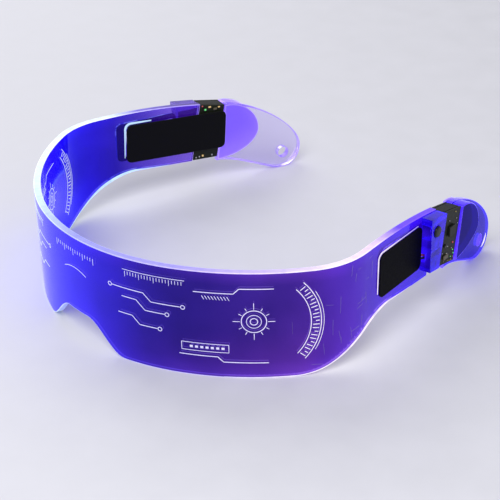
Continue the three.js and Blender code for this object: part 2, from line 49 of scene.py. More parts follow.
# The stack of boards, with a clear block in front of it and an ear tip behind it
STACK_START = VISOR_END + CLEARANCE
STACK_LENGTH = 11.8
BOARD_INSET, OUTER_HEIGHT = 0.4, 22.0
BLOCK_OUT, MAIN_FACE, LAMP_FACE = 4.8, 4.1, -THICKNESS

# Ear tip: its reach, its strap hole, and the arms of the curves in its outline
TIP_START = STACK_START + STACK_LENGTH + CLEARANCE
TIP_TOE_IN = math.radians(3.5)
TIP_REACH, TIP_REST, TIP_NOSE_UP = 39.4, 29.2, 9.8
TIP_FRONT_DROP, TIP_SHOULDER = 1.5, 20.5
TIP_HOLE_FROM_NOSE, TIP_HOLE_UP, TIP_HOLE_RADIUS = 8.7, 7.3, 2.4
TIP_FRONT_ARM, TIP_REST_ARM, TIP_HEEL_ARM, TIP_LOW_ARM, TIP_HIGH_ARM = 10.0, 5.7, 7.1, 6.0, 8.0

# End block and end cover, which share their curved edge
END_REACH, END_SHARE, END_NOSE_BELOW_TOP, END_BELOW_TOP = 17.9, 0.55, 13.4, 0.9
END_COVER_BELOW_BOTTOM, END_COVER_THICKNESS = 0.5, 0.7

# Battery window with its lead slot, battery cover and soft pad
BATTERY_ALONG = VISOR_END - 21.6
BATTERY_SLOPE = math.radians(0.8)
WINDOW_LENGTH, WINDOW_HEIGHT, WINDOW_CORNER = 23.6, 13.4, 1.5
LEAD_UP, LEAD_SLOT_HALF = 23.88, 1.35
LEAD_SLOT_END = BATTERY_ALONG + WINDOW_LENGTH / 2 + 3.2
COVER_BEFORE_WINDOW, COVER_HEIGHT, COVER_RAISE = 4.1, 17.6, 0.5
PAD_LENGTH, PAD_MARGIN, PAD_CORNER, PAD_THICKNESS, PAD_CROWN = 48.0, 5.15, 2.4, 1.9, 0.22
PAD_ALONG = TIP_START + 1.5 - PAD_LENGTH / 2
PAD_SLOPE = math.radians(4.0)

# Rounding of the replaced pieces' edges, and the longest straight steps in their outlines
PLATE_BEVEL, BLOCK_BEVEL, COVER_BEVEL, PAD_BEVEL = 0.3, 0.45, 0.2, 0.7
PLATE_STEP, END_STEP, PAD_STEP = 1.2, 2.0, 1.5

X_AXIS, Z_AXIS = Vector((1.0, 0.0, 0.0)), Vector((0.0, 0.0, 1.0))


def bend_at(along):
    """Place and heading of the plate's outer face, seen from above."""
    x = y = heading = 0.0
    rest = along
    for radius, length in ARCS:
        turned = heading + min(rest, length) / radius
        x += radius * (math.sin(turned) - math.sin(heading))
        y += radius * (math.cos(heading) - math.cos(turned))
        heading = turned
        rest = max(rest - length, 0.0)
    return x + rest * math.cos(heading), y + rest * math.sin(heading), heading


def strip_place(along, out, up):
    """Point of the part's frame, in metres; negative along is the wearer's right."""
    x, y, heading = bend_at(abs(along))
    side = -1 if along < 0 else 1
    x = side * (x + math.sin(heading) * out)
    y = y - math.cos(heading) * out - FRONT_TO_ORIGIN
    return Vector((x, y, up)) * MM


def toed_place(along, out, up):
    """The same for the pieces behind the stack, which turn inward about the ear tip's front inner edge."""
    side = -1 if along < 0 else 1
    behind, outward = abs(along) - TIP_START, out + THICKNESS
    cos, sin = math.cos(TIP_TOE_IN), math.sin(TIP_TOE_IN)
    return strip_place(side * (TIP_START + behind * cos + outward * sin),
                       -THICKNESS + outward * cos - behind * sin, up)


def ease(value, start, length):
    share = min(max((value - start) / length, 0.0), 1.0)
    return (1 - math.cos(math.pi * share)) / 2


def top_at(along):
    return HEIGHT - max(along - DROP_START, 0.0) ** 2 / (2 * DROP_RADIUS)


def bottom_at(along):
    nose = NOSE_HEIGHT * (1 - ease(along, NOSE_CROWN, NOSE_HALF_WIDTH - NOSE_CROWN))
    rise = RISE_HEIGHT * ease(along, RISE_START, RISE_LENGTH)
    return nose + rise - TEMPLE_FALL * max(along - RISE_START - RISE_LENGTH, 0.0)


def middle_at(along):
    return (top_at(along) + bottom_at(along)) / 2


def leaning(along, up):
    """Place at which a line that leans as the plate's end does reaches a height."""
    return along + (up - middle_at(along)) * LEAN


def leaning_corner(along, edge_at):
    place = leaning(along, edge_at(along))
    return place, edge_at(place)


def board_top_at(along):
    return top_at(along) - BOARD_INSET


def board_bottom_at(along):
    return bottom_at(along) + BOARD_INSET


def outer_bottom_at(along):
    return board_top_at(along) - OUTER_HEIGHT


def sloped(centre_along, slope, points):
    """Points of a sloping piece, given from its middle, as along and up."""
    up = middle_at(centre_along)
    cos, sin = math.cos(slope), math.sin(slope)
    return [(centre_along + x * cos + z * sin, up - x * sin + z * cos) for x, z in points]


def rounded_rectangle(length, height, corner, steps=6):
    """Outline about its own middle, with steps + 1 points round each corner."""
    points = []
    centres = ((1, -1, -90), (1, 1, 0), (-1, 1, 90), (-1, -1, 180))
    for sx, sz, start in centres:
        for step in range(steps + 1):
            angle = math.radians(start + 90 * step / steps)
            x = sx * (length / 2 - corner) + corner * math.cos(angle)
            z = sz * (height / 2 - corner) + corner * math.sin(angle)
            points.append((x, z))
    return points


def bezier(start, first, second, end, steps=24):
    """Points of a curve, without its last one."""
    guides = (start, first, second, end)
    points = []
    for step in range(steps):
        t = step / steps
        weights = ((1 - t) ** 3, 3 * (1 - t) ** 2 * t, 3 * (1 - t) * t * t, t ** 3)
        points.append(tuple(sum(w * guide[k] for w, guide in zip(weights, guides)) for k in (0, 1)))
    return points


def polar(centre, radius, angle):
    return centre[0] + radius * math.cos(angle), centre[1] + radius * math.sin(angle)


def circle(centre, radius, steps=40):
    return [polar(centre, radius, math.tau * k / steps) for k in range(steps)]


def signed_area(points):
    return sum(a[0] * b[1] - b[0] * a[1] for a, b in zip(points, points[1:] + points[:1])) / 2


def inset(points, distance, least_share=0.4):
    """The same closed outline moved inwards by a small distance; a sharp corner's reach is limited."""
    turn = 1 if signed_area(points) > 0 else -1
    moved = []
    for before, here, after in zip(points[-1:] + points[:-1], points, points[1:] + points[:1]):
        one = Vector((here[0] - before[0], here[1] - before[1])).normalized()
        two = Vector((after[0] - here[0], after[1] - here[1])).normalized()
        normal = Vector((-(one.y + two.y), one.x + two.x)) * turn
        length = max(normal.length, 1e-6)
        reach = distance / max(length / 2, least_share)
        moved.append((here[0] + normal.x / length * reach, here[1] + normal.y / length * reach))
    return moved


def resampled(points, longest):
    """Closed outline with extra points, so that no side is longer than asked."""
    result = []
    for here, after in zip(points, points[1:] + points[:1]):
        steps = max(1, math.ceil(math.dist(here, after) / longest))
        across, rise = after[0] - here[0], after[1] - here[1]
        result += [(here[0] + across * k / steps, here[1] + rise * k / steps) for k in range(steps)]
    return result


# Material slots of a plate: its flat faces, the straight part of its edge, and the edge's rounding
FACE, EDGE, RIM = 0, 1, 2


def plate(outline, holes, outs, bevel, bevel_steps=3):
    """Flat plate with rounded edges in strip space: x is along, y is out and z is up."""
    low, high = outs
    turns = [(math.pi / 2) * k / bevel_steps for k in range(bevel_steps + 1)]
    near = [(bevel * (1 - math.sin(t)), low + bevel * (1 - math.cos(t))) for t in turns]
    far = [(step_in, high + low - out) for step_in, out in reversed(near)]
    profile = near + far
    loops = [outline if signed_area(outline) > 0 else outline[::-1]]
    loops += [hole if signed_area(hole) < 0 else hole[::-1] for hole in holes]
    mesh = bmesh.new()
    caps = {0: [], len(profile) - 1: []}
    for at, loop in enumerate(loops):
        rings = []
        for level, (step_in, out) in enumerate(profile):
            points = inset(loop, step_in if at == 0 else -step_in)
            ring = [mesh.verts.new((x, out, z)) for x, z in points]
            rings.append(ring)
            if level in caps:
                caps[level].append(ring)
        for level, (lower, upper) in enumerate(zip(rings, rings[1:])):
            for k in range(len(loop)):
                after = (k + 1) % len(loop)
                corners = (lower[k], lower[after], upper[after], upper[k])
                mesh.faces.new(corners).material_index = EDGE if level == bevel_steps else RIM
    for rings in caps.values():
        flat = [vert for ring in rings for vert in ring]
        polygons = [[Vector((v.co.x, v.co.z, 0)) for v in ring] for ring in rings]
        for triangle in tessellate_polygon(polygons):
            if len(set(triangle)) == 3:
                mesh.faces.new([flat[k] for k in triangle]).material_index = FACE
    bmesh.ops.recalc_face_normals(mesh, faces=mesh.faces)
    return mesh


def cut_across(mesh, axis, places):
    """Cuts the faces of a mesh at places along an axis, so that it can bend there."""
    for place in places:
        geometry = mesh.verts[:] + mesh.edges[:] + mesh.faces[:]
        bmesh.ops.bisect_plane(mesh, geom=geometry, dist=1e-5, plane_co=axis * place, plane_no=axis)


def join(mesh, other):
    """Adds another mesh to a mesh and frees the other one."""
    holder = bpy.data.meshes.new("joined_part")
    other.to_mesh(holder)
    other.free()
    mesh.from_mesh(holder)
    bpy.data.meshes.remove(holder)


def raised_line(mesh, points, outs, closed=False):
    """Flat line that stands out of the plate, through points given as along, up and width."""
    last = len(points) - 1
    rings = []
    for at, (along, up, width) in enumerate(points):
        before = points[at - 1 if at or closed else at]
        after = points[0 if closed and at == last else min(at + 1, last)]
        step = Vector((after[0] - before[0], after[1] - before[1])).normalized() * width / 2
        one, two = (along - step.y, up + step.x), (along + step.y, up - step.x)
        corners = [(one, outs[0]), (two, outs[0]), (two, outs[1]), (one, outs[1])]
        rings.append([mesh.verts.new((place[0], out, place[1])) for place, out in corners])
    for here, after in zip(rings, rings[1:] + rings[:1] if closed else rings[1:]):
        for k in range(4):
            mesh.faces.new((here[k], here[(k + 1) % 4], after[(k + 1) % 4], after[k]))
    if not closed:
        mesh.faces.new(rings[0])
        mesh.faces.new(rings[-1][::-1])


def finish_piece(name, mesh, materials, side=1, weighted=True, place=strip_place):
    """Bends a mesh from strip space into place and makes it an object of the scene."""
    along_layer = mesh.verts.layers.float.new("along")
    up_layer = mesh.verts.layers.float.new("up")
    for vert in mesh.verts:
        along, out, up = vert.co
        along *= side
        vert[along_layer] = along / VISOR_END
        vert[up_layer] = up / HEIGHT
        vert.co = place(along, out, up)
    mesh.normal_update()
    bmesh.ops.recalc_face_normals(mesh, faces=mesh.faces)
    for face in mesh.faces:
        face.smooth = True
    data = bpy.data.meshes.new(name)
    mesh.to_mesh(data)
    mesh.free()
    for material in materials:
        data.materials.append(material)
    piece = bpy.data.objects.new(name, data)
    bpy.context.scene.collection.objects.link(piece)
    if weighted:
        piece.modifiers.new("even_normals", "WEIGHTED_NORMAL").keep_sharp = True
    return piece


# Materials
class Nodes:
    """A material's node tree with its Principled shader and short ways to add detail."""

    def __init__(self, name, **settings):
        self.material = bpy.data.materials.new(name)
        self.material.use_nodes = True
        self.tree = self.material.node_tree
        self.shader = next(n for n in self.tree.nodes if n.type == "BSDF_PRINCIPLED")
        for key, value in settings.items():
            self.shader.inputs[key.replace("_", " ")].default_value = value

    def node(self, kind, **settings):
        made = self.tree.nodes.new(kind)
        for key, value in settings.items():
            if key in made.inputs:
                made.inputs[key].default_value = value
            else:
                setattr(made, key, value)
        return made

    def link(self, source, target):
        self.tree.links.new(source, target)

    def noise(self, scale, detail=3.0, roughness=0.55):
        place = self.node("ShaderNodeTexCoord")
        made = self.node("ShaderNodeTexNoise", Scale=scale, Detail=detail, Roughness=roughness)
        self.link(place.outputs["Object"], made.inputs["Vector"])
        return made.outputs["Fac"]

    def span(self, source, low, high, source_low=0.3, source_high=0.7):
        made = self.node("ShaderNodeMapRange")
        ends = {"From Min": source_low, "From Max": source_high, "To Min": low, "To Max": high}
        for key, value in ends.items():
            made.inputs[key].default_value = value
        self.link(source, made.inputs["Value"])
        return made.outputs["Result"]

    def ramp(self, source, stops):
        made = self.node("ShaderNodeValToRGB")
        elements = made.color_ramp.elements
        while len(elements) < len(stops):
            elements.new(0.5)
        for element, (position, colour) in zip(elements, stops):
            element.position = position
            element.color = (*colour, 1.0)
        self.link(source, made.inputs["Fac"])
        return made.outputs["Color"]

    def bump(self, source, strength, distance):
        made = self.node("ShaderNodeBump", Strength=strength, Distance=distance)
        self.link(source, made.inputs["Height"])
        self.link(made.outputs["Normal"], self.shader.inputs["Normal"])

    def scratched(self, low, high, depth):
        """Gloss and surface that vary finely, as on handled acrylic."""
        fine = self.noise(900.0, 5.0)
        self.link(self.span(fine, low, high), self.shader.inputs["Roughness"])
        self.bump(fine, 0.15, depth)

    def blended(self, one, two, blend="MULTIPLY"):
        made = self.node("ShaderNodeMix", data_type="RGBA", blend_type=blend)
        made.inputs["Factor"].default_value = 1.0
        self.link(one, made.inputs["A"])
        self.link(two, made.inputs["B"])
        return made.outputs["Result"]

    def attribute(self, name):
        made = self.node("ShaderNodeAttribute", attribute_name=name)
        return made.outputs["Fac"]

    def along(self):
        """Signed place along the strip, from 0 at the right end to 1 at the left end."""
        return self.span(self.attribute("along"), 0.0, 1.0, -1.0, 1.0)


def mottled(dark, light):
    """Stops of a ramp between two colours, for a noise to run through."""
    return (0.3, dark), (0.7, light)


def textured(name, colour, roughness, grain, bump_depth, spread=0.12, **settings):
    """Opaque material whose colour, gloss and surface vary a little."""
    nodes = Nodes(name, **settings)
    noise = nodes.noise(grain)
    darker = tuple(c * (1 - spread) for c in colour)
    lighter = tuple(min(1.0, c * (1 + spread)) for c in colour)
    nodes.link(nodes.ramp(noise, mottled(darker, lighter)), nodes.shader.inputs["Base Color"])
    uneven = nodes.span(noise, roughness * 0.85, min(1.0, roughness * 1.15))
    nodes.link(uneven, nodes.shader.inputs["Roughness"])
    if bump_depth:
        nodes.bump(noise, 0.4, bump_depth)
    return nodes.material


def acrylic(name, tint_stops, glow_stops, glow, alpha, roughness=0.06, scratch=0.00003, clear=0.85,
            gloss=0.35, grain=30.0, shine=(1.0, 1.0, 1.0), ior=1.49):
    """Clear acrylic with light running in it: a tint, a faint glow and fine scratches."""
    nodes = Nodes(name, IOR=ior, Transmission_Weight=clear, Alpha=alpha, Emission_Strength=glow,
                  Specular_IOR_Level=gloss, Specular_Tint=(*shine, 1.0))
    factor = nodes.noise(grain, 1.0)
    nodes.link(nodes.ramp(factor, tint_stops), nodes.shader.inputs["Base Color"])
    nodes.link(nodes.ramp(factor, glow_stops), nodes.shader.inputs["Emission Color"])
    nodes.scratched(roughness * 0.7, roughness * 1.6, scratch)
    return nodes.material


def lit_plate(name, tint_stops, glow_stops, core_stops, height_stops, glow, shine):
    """Clear plate with light in it, brighter near its edges and uneven in soft clouds."""
    nodes = Nodes(name, IOR=1.49, Transmission_Weight=0.97, Emission_Strength=glow, Specular_IOR_Level=0.18,
                  Specular_Tint=(*shine, 1.0))
    factor = nodes.along()
    clouds = nodes.ramp(nodes.noise(28.0, 2.0), ((0.35, (0.55, 0.55, 0.70)), (0.65, (1.0, 1.0, 1.0))))
    by_height = nodes.ramp(nodes.attribute("up"), height_stops)
    tint = nodes.blended(nodes.ramp(factor, tint_stops), clouds)
    rim_light = nodes.blended(nodes.blended(nodes.ramp(factor, glow_stops), clouds), by_height)
    core_light = nodes.blended(nodes.ramp(factor, core_stops), clouds)
    nodes.link(tint, nodes.shader.inputs["Base Color"])
    nodes.link(nodes.blended(rim_light, core_light, "ADD"), nodes.shader.inputs["Emission Color"])
    nodes.scratched(0.03, 0.09, 0.00003)
    return nodes.material


def glow_edge(name, stops, strength, roughness=0.35, body=0.4):
    """Surface where the light that runs in the plate comes out: its edges, etching and lines of light. On
    the edge's rounding and along the ear tip's line it also stands for a painted highlight.
    """
    nodes = Nodes(name, Emission_Strength=strength, Roughness=roughness, Specular_IOR_Level=0.3)
    factor = nodes.along()
    fine = nodes.noise(350.0, 4.0)
    dimmed = nodes.ramp(fine, ((0.3, (0.70, 0.70, 0.84)), (0.6, (1.0, 1.0, 1.0))))
    dark_stops = tuple((at, tuple(c * body for c in colour)) for at, colour in stops)
    nodes.link(nodes.ramp(factor, dark_stops), nodes.shader.inputs["Base Color"])
    nodes.link(nodes.blended(nodes.ramp(factor, stops), dimmed), nodes.shader.inputs["Emission Color"])
    return nodes.material


# Colours along the strip, from the right temple's end at 0 to the left temple's end at 1
FACE_TINTS = (
    (0.02, (0.24, 0.16, 0.66)),
    (0.12, (0.030, 0.015, 0.46)),
    (0.22, (0.010, 0.004, 0.56)),
    (0.36, (0.010, 0.004, 0.60)),
    (0.50, (0.020, 0.010, 0.42)),
    (0.64, (0.022, 0.010, 0.19)),
    (0.78, (0.050, 0.018, 0.24)),
    (0.88, (0.050, 0.020, 0.44)),
    (0.98, (0.030, 0.010, 0.56)),
)
FACE_GLOWS = (
    (0.02, (0.06, 0.03, 0.30)),
    (0.12, (0.02, 0.01, 0.55)),
    (0.22, (0.01, 0.00, 0.95)),
    (0.36, (0.01, 0.01, 0.95)),
    (0.50, (0.05, 0.02, 0.55)),
    (0.64, (0.10, 0.03, 0.42)),
    (0.78, (0.26, 0.07, 0.62)),
    (0.88, (0.07, 0.01, 0.75)),
    (0.98, (0.02, 0.00, 0.80)),
)
# Glow that is the same at every height: vivid blue by the right lens and the nose
CORE_GLOWS = (
    (0.04, (0.03, 0.00, 0.15)),
    (0.12, (0.00, 0.00, 0.00)),
    (0.20, (0.00, 0.00, 0.35)),
    (0.26, (0.02, 0.00, 1.00)),
    (0.48, (0.02, 0.00, 0.90)),
    (0.60, (0.00, 0.00, 0.08)),
    (0.74, (0.00, 0.00, 0.00)),
    (0.84, (0.08, 0.02, 0.20)),
    (0.96, (0.03, 0.00, 0.30)),
)
# Share of the glow by height, from the foot at 0 to the top at 1
HEIGHT_STOPS = (
    (0.00, (1.0, 1.0, 1.0)),
    (0.16, (0.50, 0.45, 0.50)),
    (0.45, (0.16, 0.15, 0.24)),
    (0.88, (0.14, 0.14, 0.26)),
    (1.00, (0.60, 0.60, 0.70)),
)
EDGE_STOPS = (
    (0.02, (0.10, 0.06, 0.34)),
    (0.085, (0.16, 0.12, 0.70)),
    (0.125, (0.72, 0.88, 1.00)),
    (0.24, (0.80, 0.95, 1.00)),
    (0.38, (0.62, 0.86, 1.00)),
    (0.50, (0.24, 0.26, 0.95)),
    (0.64, (0.30, 0.26, 0.90)),
    (0.75, (0.60, 0.48, 1.00)),
    (0.82, (1.00, 0.86, 1.00)),
    (0.88, (0.86, 0.66, 1.00)),
    (0.93, (0.16, 0.06, 1.00)),
)
# Edge's rounding: whiter and brighter than the straight edge, the light that comes out of it plus a painted
# highlight along the edge
RIM_GLOW_AND_HIGHLIGHT_STOPS = (
    (0.02, (0.45, 0.36, 0.95)),
    (0.085, (0.55, 0.50, 1.00)),
    (0.125, (0.92, 0.98, 1.00)),
    (0.24, (0.95, 1.00, 1.00)),
    (0.38, (0.80, 0.97, 1.00)),
    (0.50, (0.46, 0.50, 1.00)),
    (0.64, (0.52, 0.46, 1.00)),
    (0.75, (0.80, 0.68, 1.00)),
    (0.82, (1.00, 0.94, 1.00)),
    (0.88, (0.95, 0.78, 1.00)),
    (0.93, (0.22, 0.10, 1.00)),
)
ETCH_STOPS = tuple((at, tuple(0.45 * c + 0.52 for c in colour)) for at, colour in EDGE_STOPS)
# Colours of the lines of light; the same colours paint the ear tip's highlight
LINE_STOPS = (
    (0.00, (0.92, 0.78, 1.00)),
    (0.04, (0.55, 0.80, 1.00)),
    (0.45, (0.70, 0.90, 1.00)),
    (0.80, (1.00, 0.90, 1.00)),
    (0.90, (1.00, 0.88, 1.00)),
    (0.96, (0.60, 0.50, 1.00)),
    (1.00, (0.90, 0.84, 1.00)),
)

# The colour that clear pieces mirror the pale room in, as lit blue or dark acrylic does
BLUE_SHINE = (0.22, 0.14, 0.90)
NAVY_SHINE = (0.14, 0.10, 0.50)

# Body colours, glows and lit edges of the other acrylic pieces
BLUE_BODY = mottled((0.02, 0.01, 0.55), (0.045, 0.02, 0.75))
BLUE_GLOW = mottled((0.02, 0.0, 0.60), (0.05, 0.01, 1.0))
# Dark blue body of the left ear tip: painted shade for the dark seen through the clear tip
SHADED_BLUE_TINT = mottled((0.028, 0.018, 0.40), (0.050, 0.034, 0.54))
STREAKED_BODY = mottled((0.012, 0.006, 0.32), (0.050, 0.022, 0.80))
STREAKED_GLOW = mottled((0.010, 0.0, 0.35), (0.070, 0.015, 1.0))
BLOCK_BLUE_EDGE = mottled((0.06, 0.01, 1.0), (0.14, 0.06, 1.0))
TIP_BLUE_EDGE = mottled((0.10, 0.04, 1.0), (0.22, 0.14, 1.0))
# Dark navy body of the left end block: painted shade for the dark seen through the clear block
SHADED_NAVY_BODY = mottled((0.010, 0.007, 0.12), (0.018, 0.012, 0.19))
NAVY_GLOW = mottled((0.010, 0.006, 0.12), (0.015, 0.010, 0.20))
VIOLET_BODY = mottled((0.26, 0.17, 0.72), (0.34, 0.23, 0.85))
VIOLET_GLOW = mottled((0.20, 0.11, 0.62), (0.26, 0.16, 0.72))
DIM_VIOLET_BODY = mottled((0.15, 0.09, 0.50), (0.21, 0.14, 0.62))
BLOCK_VIOLET_EDGE = mottled((0.34, 0.22, 0.9), (0.42, 0.30, 1.0))
TIP_VIOLET_EDGE = mottled((0.17, 0.08, 0.62), (0.27, 0.15, 0.80))
CLEAR_TINT = mottled((0.56, 0.50, 0.86), (0.64, 0.58, 0.92))
CLEAR_GLOW = mottled((0.05, 0.03, 0.18), (0.08, 0.05, 0.24))
FROST_BODY = mottled((0.24, 0.14, 0.68), (0.31, 0.20, 0.80))
FROST_GLOW = mottled((0.18, 0.10, 0.60), (0.24, 0.15, 0.72))
FROST_EDGE = mottled((0.40, 0.30, 0.90), (0.55, 0.44, 1.0))

visor_face = lit_plate("visor_face", FACE_TINTS, FACE_GLOWS, CORE_GLOWS, HEIGHT_STOPS, 0.5, BLUE_SHINE)
visor_edge = glow_edge("visor_edge", EDGE_STOPS, 0.62)
# The rounding's extra brightness is a painted highlight
visor_rim_glow_and_highlight = glow_edge("visor_rim_glow_and_highlight", RIM_GLOW_AND_HIGHLIGHT_STOPS, 0.8)
blocks = {
    "left": acrylic("left_block", STREAKED_BODY, STREAKED_GLOW, 0.34, 1.0, clear=0.95, gloss=0.10,
                    grain=120.0, shine=BLUE_SHINE),
    "right": acrylic("right_block", DIM_VIOLET_BODY, VIOLET_GLOW, 0.14, 0.95),
}
block_edges = {
    "left": acrylic("left_block_edge", BLUE_BODY, BLOCK_BLUE_EDGE, 0.8, 0.95),
    "right": acrylic("right_block_edge", VIOLET_BODY, BLOCK_VIOLET_EDGE, 0.6, 0.95),
}
end_faces = {
    # The left end block is darker than the right one: painted shade
    "left": acrylic("left_end_face", SHADED_NAVY_BODY, NAVY_GLOW, 0.6, 1.0, clear=0.3, gloss=0.05,
                    shine=NAVY_SHINE, ior=1.12),
    "right": acrylic("right_end_face", VIOLET_BODY, VIOLET_GLOW, 0.3, 0.7),
}
tip_faces = {
    # The left ear tip is darker than the right one: painted shade
    "left": acrylic("left_tip_face", SHADED_BLUE_TINT, BLUE_GLOW, 0.16, 1.0, clear=0.95, gloss=0.08,
                    shine=BLUE_SHINE, ior=1.2),
    "right": acrylic("right_tip_face", CLEAR_TINT, CLEAR_GLOW, 0.3, 0.5),
}
tip_edges = {
    "left": acrylic("left_tip_edge", BLUE_BODY, TIP_BLUE_EDGE, 0.8, 0.95),
    "right": acrylic("right_tip_edge", TIP_VIOLET_EDGE, TIP_VIOLET_EDGE, 0.55, 0.9),
}
frosted = acrylic("frosted_cover", FROST_BODY, FROST_GLOW, 0.45, 0.94, roughness=0.5, scratch=0.00008)
frosted_edge = acrylic("frosted_edge", FROST_BODY, FROST_EDGE, 0.6, 0.95, roughness=0.4)
etch_light = glow_edge("etched_lines", ETCH_STOPS, 0.7, roughness=0.8, body=0.5)
inner_light = glow_edge("inner_etched_lines", ETCH_STOPS, 0.6, roughness=0.8, body=0.4)
scratch_light = glow_edge("fine_scratches", ETCH_STOPS, 0.1, roughness=0.6, body=0.2)
line_glow_and_highlight = glow_edge("line_glow_and_highlight", LINE_STOPS, 0.8)

# Opaque materials
foam = textured("pad_foam", (0.0035, 0.0035, 0.005), 0.95, 2600.0, 0.00012, Specular_IOR_Level=0.08,
                Sheen_Weight=0.03)
satin_black = textured("cover_black", (0.0015, 0.0015, 0.003), 0.55, 1500.0, 0.00003,
                       Specular_IOR_Level=0.04)
moulded_black = textured("moulded_black", (0.008, 0.009, 0.008), 0.5, 1200.0, 0.00003,
                         Specular_IOR_Level=0.2)
button_black = textured("button_black", (0.005, 0.006, 0.007), 0.3, 700.0, 0.00001, Specular_IOR_Level=0.3)
board_black = textured("board_mask", (0.010, 0.013, 0.006), 0.45, 900.0, 0.00002, spread=0.3,
                       Specular_IOR_Level=0.2)
chip_black = textured("chip_black", (0.009, 0.010, 0.008), 0.45, 2000.0, 0.00002, Specular_IOR_Level=0.25)
red_cover = textured("red_insulation", (0.30, 0.02, 0.05), 0.4, 900.0, 0.00002)
cell_steel = textured("cell_steel", (0.70, 0.71, 0.73), 0.22, 1200.0, 0.00001, Metallic=1.0)
tinned = textured("tinned_strip", (0.60, 0.60, 0.58), 0.35, 1500.0, 0.00001, Metallic=1.0)
gold = textured("gold_pad", (0.62, 0.50, 0.18), 0.35, 1500.0, 0.00001, Metallic=1.0)
ceramic = textured("tan_ceramic", (0.11, 0.09, 0.045), 0.4, 2500.0, 0.00001)
resistor_black = textured("resistor_black", (0.015, 0.016, 0.015), 0.35, 2500.0, 0.00001)
lamp_white = textured("lamp_white", (0.80, 0.82, 0.95), 0.3, 900.0, 0.0,
                      Emission_Color=(0.35, 0.45, 1.0, 1.0), Emission_Strength=1.5)


# Material that glows in its own colour: a painted glint on small parts that are no lamps
def glint(name, colour, strength):
    return textured(name, colour, 0.3, 900.0, 0.0, Emission_Color=(*colour, 1.0),
                    Emission_Strength=strength)


red_glint = glint("red_glint", (0.55, 0.07, 0.08), 0.4)
green_glint = glint("green_glint", (0.10, 0.60, 0.14), 0.6)
amber_glint = glint("amber_glint", (0.62, 0.42, 0.16), 0.4)

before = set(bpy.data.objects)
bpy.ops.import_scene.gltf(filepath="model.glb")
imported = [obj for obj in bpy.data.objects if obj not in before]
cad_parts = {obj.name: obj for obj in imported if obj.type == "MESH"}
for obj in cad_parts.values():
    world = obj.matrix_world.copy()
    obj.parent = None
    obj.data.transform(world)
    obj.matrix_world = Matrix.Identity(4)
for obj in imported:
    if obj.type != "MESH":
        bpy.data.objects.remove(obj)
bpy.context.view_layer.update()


# The visor plate
def strip_outline():
    """Outline of the plate laid flat; its ends lean more and more from where the temples start."""
    steps = math.ceil(VISOR_END / PLATE_STEP)

    def corner(step, edge_at):
        along = VISOR_END * abs(step) / steps
        share = max(along - STRAIGHT_START, 0.0) / TEMPLE_LENGTH
        place = along + (leaning(along, edge_at(along)) - along) * share
        return math.copysign(place, step), edge_at(place)

    order = range(-steps, steps + 1)
    return [corner(step, bottom_at) for step in order] + [corner(step, top_at) for step in reversed(order)]


def window_outline():
    """Outline of the battery window with the slot for the leads at its rear."""
    corner_steps = 6
    corners = rounded_rectangle(WINDOW_LENGTH, WINDOW_HEIGHT, WINDOW_CORNER, corner_steps)
    points = sloped(BATTERY_ALONG, BATTERY_SLOPE, corners)
    slot_low, slot_high = LEAD_UP - LEAD_SLOT_HALF, LEAD_UP + LEAD_SLOT_HALF
    rear = max(points)[0]
    slot = [(rear, slot_low), (LEAD_SLOT_END, slot_low), (LEAD_SLOT_END, slot_high), (rear, slot_high)]
    return points[:corner_steps + 1] + slot + points[corner_steps + 1:]


def make_visor():
    window = window_outline()
    windows = [window, [(-along, up) for along, up in window]]
    mesh = plate(strip_outline(), windows, (-THICKNESS, 0.0), PLATE_BEVEL)
    count = math.ceil(STRAIGHT_START / PLATE_STEP)
    cut_across(mesh, X_AXIS, [STRAIGHT_START * k / count for k in range(-count, count + 1)])
    piece = finish_piece("visor_glow_plate", mesh, (visor_face, visor_edge, visor_rim_glow_and_highlight))
    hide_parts("visor_plate")
    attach(piece, "frame")


# Ear tips, end blocks and covers
def tip_heel():
    """Curved lower rear corner of the ear tip, from where it rests up to its nose."""
    nose, rest = TIP_START + TIP_REACH, TIP_START + TIP_REST
    return bezier((rest, 0.0), (rest + TIP_HEEL_ARM, 0.0), (nose, TIP_NOSE_UP - TIP_LOW_ARM),
                  (nose, TIP_NOSE_UP))


def tip_outline():
    low = bottom_at(TIP_START) - TIP_FRONT_DROP
    low_front = leaning(TIP_START, low)
    high_front, high = leaning_corner(TIP_START, top_at)
    fall = (TIP_START - DROP_START) / DROP_RADIUS
    nose, rest = TIP_START + TIP_REACH, TIP_START + TIP_REST
    shoulder = (high_front + TIP_SHOULDER, high - fall * TIP_SHOULDER)
    points = bezier((low_front, low), (low_front + TIP_FRONT_ARM, low), (rest - TIP_REST_ARM, 0.0),
                    (rest, 0.0))
    points += tip_heel()
    points += bezier((nose, TIP_NOSE_UP), (nose, TIP_NOSE_UP + TIP_HIGH_ARM), shoulder,
                     (high_front, high), 40)
    points += [(high_front, high)]
    return resampled(points, END_STEP)


def end_curve(low):
    """Curved edge of the end block or its cover, from the low front corner round to the high one."""
    high, nose = top_at(TIP_START) - END_BELOW_TOP, TIP_START + END_REACH
    nose_up = high - END_NOSE_BELOW_TOP
    low_front, high_front = leaning(TIP_START, low), leaning(TIP_START, high)
    low_shoulder = low_front + (nose - low_front) * END_SHARE
    high_shoulder = high_front + (nose - high_front) * END_SHARE
    points = bezier((low_front, low), (low_shoulder, low), (nose, nose_up + (low - nose_up) * END_SHARE),
                    (nose, nose_up))
    points += bezier((nose, nose_up), (nose, nose_up + (high - nose_up) * END_SHARE),
                     (high_shoulder, high), (high_front, high))
    return points + [(high_front, high)]


def pad_height():
    return top_at(PAD_ALONG) - bottom_at(PAD_ALONG) - 2 * PAD_MARGIN


